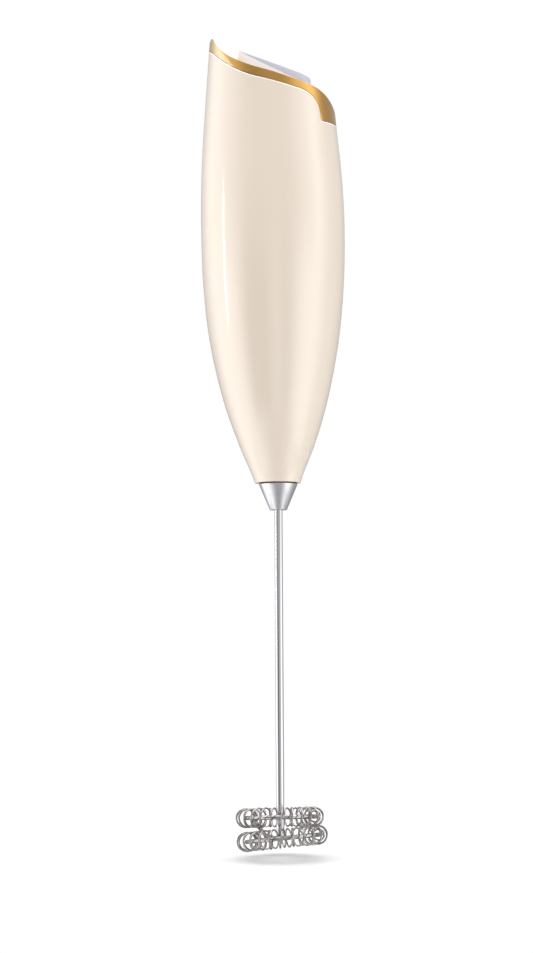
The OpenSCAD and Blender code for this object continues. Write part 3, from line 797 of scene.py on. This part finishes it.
def build_nose():
    """Cone with its spigot in the handle's neck, bored for the seal and the bush, and its gasket."""
    cone = rounded([
        (CONE_TOP_R, CONE_SEAT), (CONE_TIP_R, -CONE_H), (BORE_R, -CONE_H), (BORE_R, SEAL_BOTTOM),
        (SEAL_R, SEAL_BOTTOM), (SEAL_R, BUSH_BOTTOM), (BUSH_R, BUSH_BOTTOM), (BUSH_R, SPIGOT_TOP),
        (SPIGOT_R, SPIGOT_TOP), (SPIGOT_R, CONE_SEAT),
    ], 0.16)
    add_piece("nose_collar", lathe(cone), "handle", [SATIN], ["nose_cone"])
    gasket = rounded([
        (GASKET_R, 0.0), (GASKET_R, SHELL_BOTTOM), (SPIGOT_R + 0.05, SHELL_BOTTOM), (SPIGOT_R + 0.05, 0.0),
    ], 0.06)
    add_piece("gasket_line", lathe(gasket), "handle", [RUBBER], ["nose_gasket"])


build_nose()


def build_shaft():
    rod = rounded([
        (ON_AXIS, SHAFT_TOP), (SHAFT_R, SHAFT_TOP), (SHAFT_R, SHAFT_TIP), (ON_AXIS, SHAFT_TIP),
    ], 0.25)
    add_piece("whisk_rod", lathe(rod, 48), "whisk", [POLISHED], ["whisk_shaft"])


build_shaft()


def placed(points, centre_x, centre_z, tilt_deg):
    """Points of a flat ring tilted about Y (positive lowers the front) and moved to its place."""
    a = math.radians(tilt_deg)
    p = np.asarray(points, float)
    x = p[:, 0] * math.cos(a) + p[:, 2] * math.sin(a)
    z = -p[:, 0] * math.sin(a) + p[:, 2] * math.cos(a)
    return np.stack([x + centre_x, p[:, 1], z + centre_z], 1)


# Radius of each ring, turns of its coil, and where it sits: centre x, centre z, tilt
UPPER_RING = (9.6, 25, (0.2, -89.6, -1.0))
LOWER_RING = (10.0, 24, (0.9, -95.2, -5.5))


def curve_through(points, n=40):
    """Smooth curve through a few points (Catmull-Rom)."""
    p = np.asarray(points, float)
    p = np.concatenate([[2 * p[0] - p[1]], p, [2 * p[-1] - p[-2]]])
    out = []
    for i in range(1, len(p) - 2):
        t = np.linspace(0, 1, n, endpoint=False)[:, None]
        out.append(0.5 * (2 * p[i] + (p[i + 1] - p[i - 1]) * t
                          + (2 * p[i - 1] - 5 * p[i] + 4 * p[i + 1] - p[i + 2]) * t ** 2
                          + (3 * p[i] - p[i - 1] - 3 * p[i + 1] + p[i + 2]) * t ** 3))
    return np.concatenate(out + [p[-2][None]])


def build_ring(level, ring):
    """Core wire of one ring with its arm to the shaft, and from the lower ring a link to the upper."""
    reach, _, place = ring
    a = np.radians(np.linspace(0, 360, 180, endpoint=False))
    circle = np.stack([reach * np.cos(a), reach * np.sin(a), np.zeros(len(a))], 1)
    arm = curve_through([(0.7, 0.2, 0), (3.0, 0.9, 0), (6.4, 1.0, 0), (reach * 0.985, 0.0, 0)])
    parts = [sweep(placed(circle, *place), CORE_R, 14, closed=True),
             sweep(placed(arm, *place), CORE_R, 14)]
    if level == "lower":
        link = curve_through([(-6.9, -6.5, -90.6), (-5.4, -5.4, -92.6), (-3.6, -3.2, -94.6),
                              (-0.6, -0.6, -95.2)])
        parts.append(sweep(link, CORE_R * 0.9, 14))
    add_piece(level + "_ring_core", joined(parts), "whisk", [WIRE], [level + "_ring_wire"])


def coil_path(reach, turns, steps=44, gap_deg=7.0):
    """A helix wound round a ring of radius reach, closing on the core wire in its end turns."""
    count = turns * steps
    i = np.arange(count + 1)
    a = np.radians(mix(gap_deg, 360 - gap_deg, i / count))
    b = 2 * math.pi * i / steps
    turns_from_end = np.clip(np.minimum(i, count - i) / steps, 0, 1)
    r = mix(CORE_R + WIRE_R, COIL_R, np.sin(turns_from_end * math.pi / 2))
    r = r * (1 + 0.02 * np.sin(5 * a + turns))  # slightly uneven turns
    out = reach + r * np.cos(b)
    return np.stack([out * np.cos(a), out * np.sin(a), r * np.sin(b)], 1)


def build_coil(level, ring):
    reach, turns, place = ring
    wire = sweep(placed(coil_path(reach, turns), *place), WIRE_R, 10)
    add_piece(level + "_coil_wire", wire, "whisk", [WIRE], [level + "_coil"])


for build in (build_ring, build_coil):
    build("upper", UPPER_RING)
    build("lower", LOWER_RING)


# ---------------------------------------------------------------- stage, light and camera

def build_stage():
    """A plain pale floor under the whisk, sloped gently towards the camera."""
    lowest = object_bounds()[0].z
    half, slope = 3.0, math.radians(7.0)
    whisk_radius, gap = 0.0128, 0.0004
    corners = [(-half, -half, 0), (half, -half, 0), (half, half, 0), (-half, half, 0)]
    mesh = bpy.data.meshes.new("floor")
    mesh.from_pydata(corners, [], [(0, 1, 2, 3)])
    floor = in_scene("floor", mesh)
    floor.rotation_euler = (slope, 0, 0)
    floor.location = (0, 0, lowest - whisk_radius * math.sin(slope) - gap)
    m = bpy.data.materials.new("floor_white")
    m.use_nodes = True
    tree = m.node_tree
    shader = tree.nodes["Principled BSDF"]
    shader.inputs["Base Color"].default_value = (0.95, 0.95, 0.95, 1)
    shader.inputs["Roughness"].default_value = 0.9
    place = tree.nodes.new("ShaderNodeTexCoord")
    reach = tree.nodes.new("ShaderNodeVectorMath")
    reach.operation = "LENGTH"
    # The floor turns from lit to plain white a little way out from the whisk
    fade = tree.nodes.new("ShaderNodeMapRange")
    fade.interpolation_type = "SMOOTHSTEP"
    fade.inputs["From Min"].default_value = 0.06
    fade.inputs["From Max"].default_value = 0.2
    glow = node(tree, "ShaderNodeEmission", Strength=1.0)
    blend = tree.nodes.new("ShaderNodeMixShader")
    tree.links.new(place.outputs["Object"], reach.inputs[0])
    tree.links.new(reach.outputs["Value"], fade.inputs["Value"])
    tree.links.new(fade.outputs["Result"], blend.inputs["Fac"])
    tree.links.new(shader.outputs["BSDF"], blend.inputs[1])
    tree.links.new(glow.outputs["Emission"], blend.inputs[2])
    tree.links.new(blend.outputs["Shader"], tree.nodes["Material Output"].inputs["Surface"])
    mesh.materials.append(m)
    floor.visible_glossy = False  # polished surfaces mirror the room instead


# Brightness of the room round the object, as (degrees from the camera's side, level).
# ROOM is what lights matt surfaces; the other three are what polished ones mirror, by height.
ROOM = [
    (-180, 0.7), (-120, 0.7), (-60, 0.7), (-28, 0.5), (-10, 0.12), (0, 0.05), (10, 0.12),
    (28, 0.5), (60, 0.7), (120, 0.7), (180, 0.7),
]
MIRROR_LOW = [
    (-180, 0.5), (-138, 0.5), (-110, 0.75), (-67, 1.5), (-45, 1.1), (-22, 0.6), (0, 0.5), (25, 0.6),
    (45, 1.0), (60, 1.3), (85, 0.8), (112, 0.45), (138, 0.35), (180, 0.5),
]
MIRROR_MIDDLE = [
    (-180, 0.4), (-150, 0.45), (-130, 0.8), (-110, 1.6), (-96, 1.7), (-74, 1.7), (-60, 1.2), (-46, 0.35),
    (-31, 0.2), (-12, 0.35), (0, 0.75), (8, 0.75), (22, 0.5), (36, 1.1), (50, 1.8), (75, 1.8), (96, 0.9),
    (115, 0.6), (140, 0.4), (180, 0.4),
]
MIRROR_HIGH = [
    (-180, 0.5), (-140, 0.7), (-112, 1.5), (-84, 1.1), (-60, 0.8), (-40, 0.5), (0, 0.55), (30, 0.6),
    (48, 1.0), (66, 1.3), (80, 1.7), (94, 1.1), (108, 0.6), (140, 0.5), (180, 0.5),
]
BRIGHTEST = 4.0


def build_world():
    """White behind the object; as light, a studio that is darker where the camera stands."""
    world = bpy.data.worlds.new("studio")
    bpy.context.scene.world = world
    world.use_nodes = True
    tree = world.node_tree
    way = tree.nodes.new("ShaderNodeTexCoord")
    parts = tree.nodes.new("ShaderNodeSeparateXYZ")
    tree.links.new(way.outputs["Generated"], parts.inputs["Vector"])
    towards_camera = tree.nodes.new("ShaderNodeMath")
    towards_camera.operation = "MULTIPLY"
    towards_camera.inputs[1].default_value = -1
    azimuth = tree.nodes.new("ShaderNodeMath")
    azimuth.operation = "ARCTAN2"
    tree.links.new(parts.outputs["Y"], towards_camera.inputs[0])
    tree.links.new(parts.outputs["X"], azimuth.inputs[0])
    tree.links.new(towards_camera.outputs["Value"], azimuth.inputs[1])
    turn = tree.nodes.new("ShaderNodeMapRange")
    turn.inputs["From Min"].default_value = -math.pi
    turn.inputs["From Max"].default_value = math.pi
    tree.links.new(azimuth.outputs["Value"], turn.inputs["Value"])

    def round_the_room(levels):
        """Colour that follows a list of levels round the vertical axis."""
        ramp = tree.nodes.new("ShaderNodeValToRGB")
        ramp.color_ramp.interpolation = "CARDINAL"
        elements = ramp.color_ramp.elements
        while len(elements) < len(levels):
            elements.new(0.5)
        for element, (degrees, level) in zip(elements, levels):
            element.position = degrees / 360 + 0.5
            element.color = [level / BRIGHTEST] * 3 + [1]
        tree.links.new(turn.outputs["Result"], ramp.inputs["Fac"])
        return ramp.outputs["Color"]

    def blended(factor, first, second):
        mixer = tree.nodes.new("ShaderNodeMix")
        mixer.data_type = "RGBA"
        colour_a, colour_b, colour_out = mixer.inputs[6], mixer.inputs[7], mixer.outputs[2]
        tree.links.new(factor, mixer.inputs["Factor"])
        tree.links.new(first, colour_a)
        tree.links.new(second, colour_b)
        return colour_out

    def between(low, high):
        """Rises from 0 to 1 as the way looked goes from one height to another."""
        step = tree.nodes.new("ShaderNodeMapRange")
        step.interpolation_type = "SMOOTHSTEP"
        step.inputs["From Min"].default_value = low
        step.inputs["From Max"].default_value = high
        tree.links.new(parts.outputs["Z"], step.inputs["Value"])
        return step.outputs["Result"]

    low, middle, high = (round_the_room(levels) for levels in (MIRROR_LOW, MIRROR_MIDDLE, MIRROR_HIGH))
    mirrored = blended(between(-0.54, -0.42), low, middle)
    mirrored = blended(between(0.0, 0.2), mirrored, high)
    path = tree.nodes.new("ShaderNodeLightPath")
    lit = node(tree, "ShaderNodeBackground", Strength=BRIGHTEST)
    light = blended(path.outputs["Is Glossy Ray"], round_the_room(ROOM), mirrored)
    tree.links.new(light, lit.inputs["Color"])
    seen = tree.nodes["Background"]
    seen.inputs["Color"].default_value = (1, 1, 1, 1)
    blend = tree.nodes.new("ShaderNodeMixShader")
    tree.links.new(path.outputs["Is Camera Ray"], blend.inputs["Fac"])
    tree.links.new(lit.outputs["Background"], blend.inputs[1])
    tree.links.new(seen.outputs["Background"], blend.inputs[2])
    tree.links.new(blend.outputs["Shader"], tree.nodes["World Output"].inputs["Surface"])


def soft_box(name, location, width, height, radiance, mirrored=False):
    """An area light that faces the origin, with its brightness given as radiance."""
    light = bpy.data.lights.new(name, "AREA")
    light.shape = "RECTANGLE"
    light.size, light.size_y = width, height
    light.energy = radiance * math.pi * width * height
    obj = in_scene(name, light)
    obj.location = location
    obj.rotation_euler = (-Vector(location)).to_track_quat("-Z", "Y").to_euler()
    obj.visible_glossy = mirrored
    return obj


def build_lights():
    build_world()
    soft_box("left_box", (-1.1, -0.35, 0.05), 0.8, 1.6, 1.25)
    soft_box("right_box", (1.05, -0.5, 0.05), 0.8, 1.6, 1.25)
    soft_box("left_strip", (-1.0, -0.08, 0.12), 0.02, 0.3, 12, mirrored=True)
    soft_box("overhead_box", (0, -0.05, 1.1), 1.8, 1.8, 1.3, mirrored=True)


def build_camera():
    """A long lens in front of the -Y side, a little below the target and looking slightly up."""
    distance, pitch, roll = 1.134, math.radians(4.8), math.radians(0.34)
    data = bpy.data.cameras.new("camera")
    data.lens = 158.7
    data.sensor_width = 36
    data.clip_start, data.clip_end = 0.01, 20
    cam = in_scene("camera", data)
    forward = Vector((0, math.cos(pitch), math.sin(pitch)))
    target = Vector((-0.00316, 0, 0.0021))
    cam.location = target - forward * distance
    turn = forward.to_track_quat("-Z", "Y").to_matrix().to_4x4()
    cam.matrix_world = Matrix.Translation(cam.location) @ turn @ Matrix.Rotation(-roll, 4, "Z")
    bpy.context.scene.camera = cam


build_stage()
build_lights()
build_camera()
bpy.context.scene.view_settings.view_transform = "Standard"
